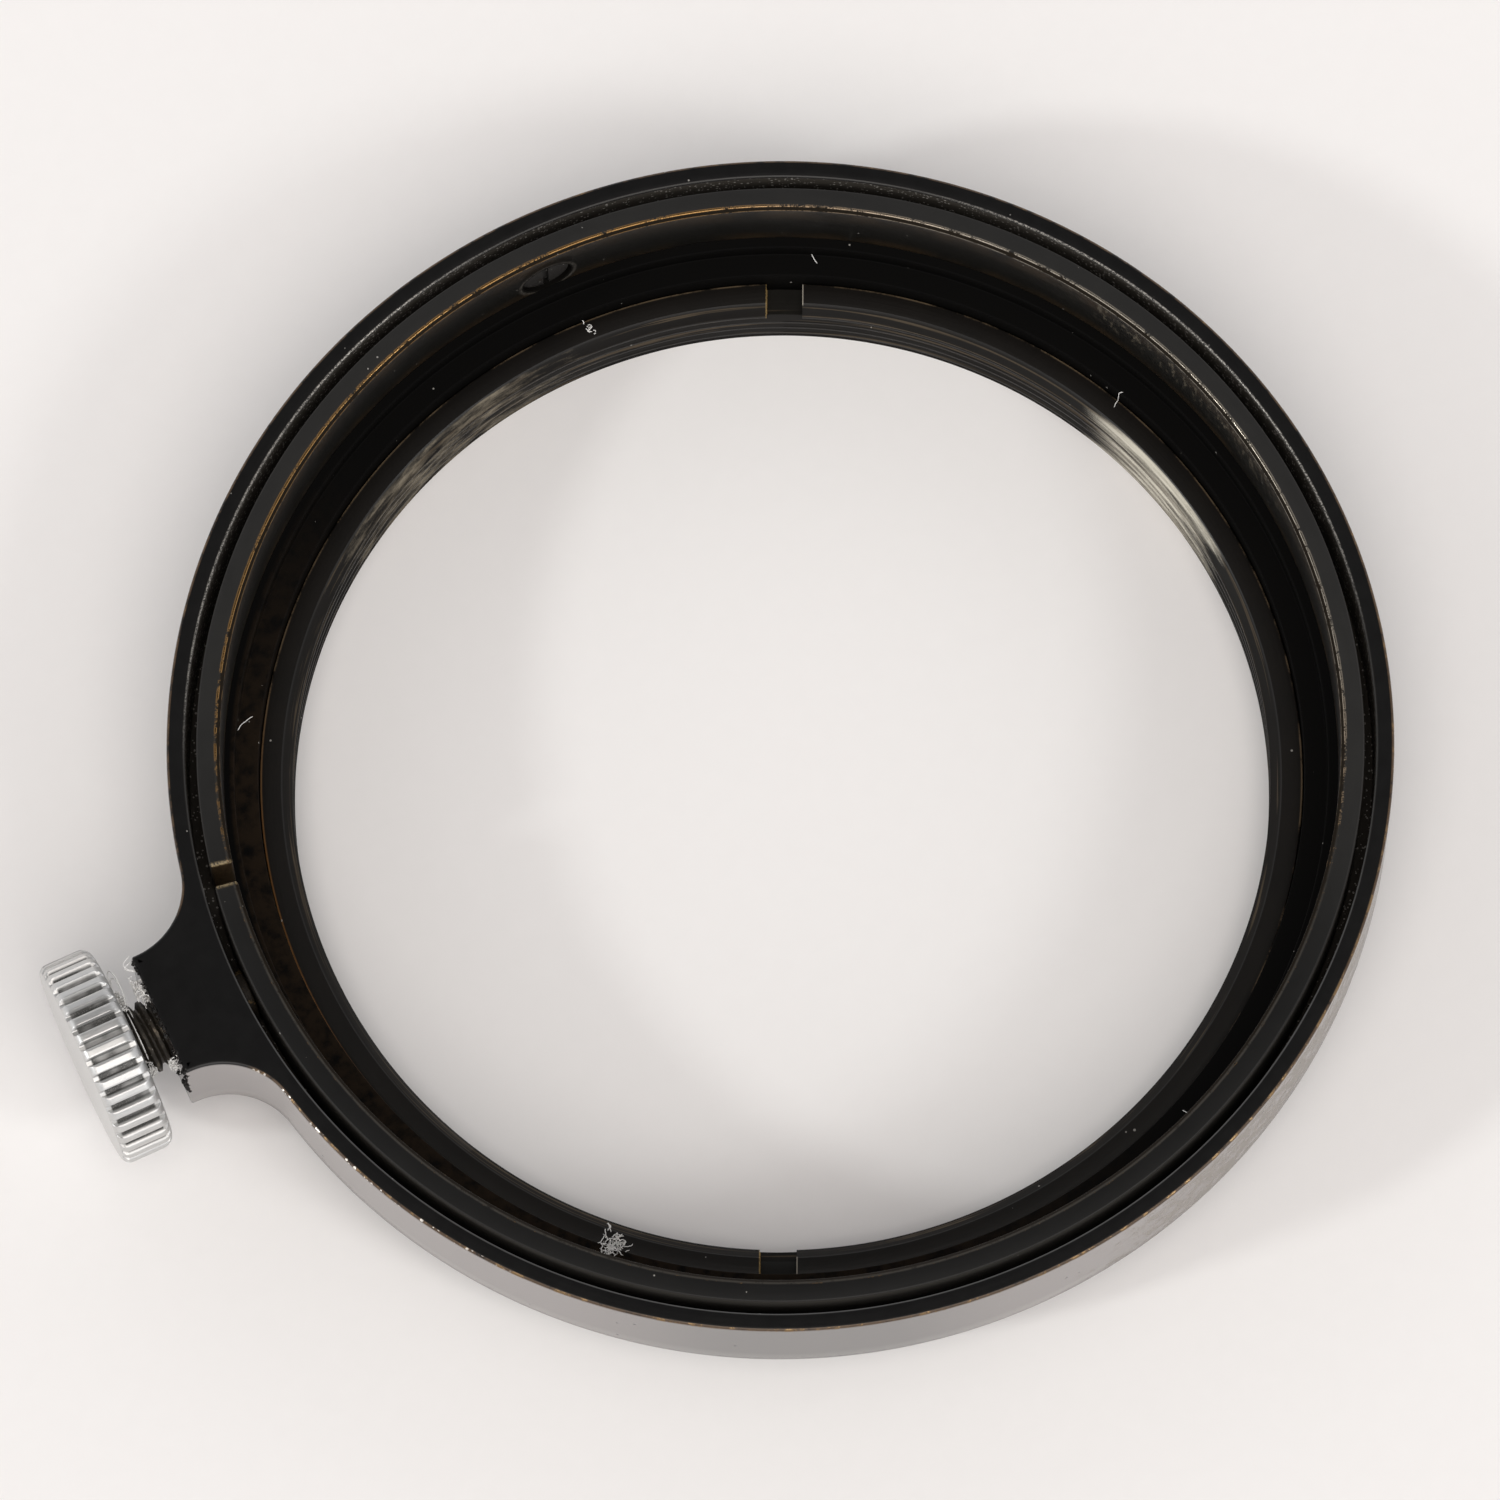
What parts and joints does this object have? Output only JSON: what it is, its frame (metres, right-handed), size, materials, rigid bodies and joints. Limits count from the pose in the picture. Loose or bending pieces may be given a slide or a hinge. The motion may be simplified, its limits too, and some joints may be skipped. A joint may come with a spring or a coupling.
{
  "type": "clamp-on lens adapter ring",
  "caption": "Slip-on clamp ring for a lens front: split clamp band closed by a knurled thumbscrew in a flared boss, with a slotted threaded adapter ring inside its neck.",
  "frame": {"origin": "centre of the front thread's mouth, in the plane the ring stands on", "axes": "+Z along the optical axis towards the lens barrel, thumbscrew along -X"},
  "size_m": [0.0676, 0.06, 0.0121],
  "materials": {
    "collar_finish": "black lacquer, glossy on the outer wall and satin on top, worn to brass along the upper edge",
    "band_finish": "worn black lacquer, brass along the inner edge",
    "screw_steel": "dark, dirty steel",
    "adapter_finish": "matt black lacquer, bare metal showing in the thread",
    "head_plating": "dulled nickel plating over a straight knurl",
    "shank_steel": "dirty threaded steel",
    "bare_brass": "bare turned brass"
  },
  "bodies": {
    "collar": {"collar_body": "collar_finish", "clamp_band": "band_finish", "band_screw": "screw_steel", "adapter_ring": "adapter_finish"},
    "free_arm": {"clamp_band_free_arm": "band_finish"},
    "pad": {"pressure_pad": "bare_brass"},
    "thumbscrew": {"thumbscrew_head": "head_plating", "thumbscrew_shank": "shank_steel"}
  },
  "joints": [
    {"name": "screw_travel", "type": "slide", "parent": "collar", "child": "pad", "axis": [1, 0, 0], "range_m": [0, 0.001]},
    {"name": "screw_turn", "type": "hinge", "parent": "pad", "child": "thumbscrew", "pos_m": [-0.0349, 0, 0.00685], "axis": [1, 0, 0], "range_deg": [0, 600.5]},
    {"name": "band_flex", "type": "hinge", "parent": "collar", "child": "free_arm", "pos_m": [-0.01182, -0.02535, 0.00755], "axis": [0, 0, -1], "range_deg": [0, 2.3]}
  ],
  "couplings": [
    {"joint": "screw_turn", "follows": "screw_travel", "rad_per_m": 10472},
    {"joint": "band_flex", "follows": "screw_travel", "rad_per_m": 39.449}
  ]
}
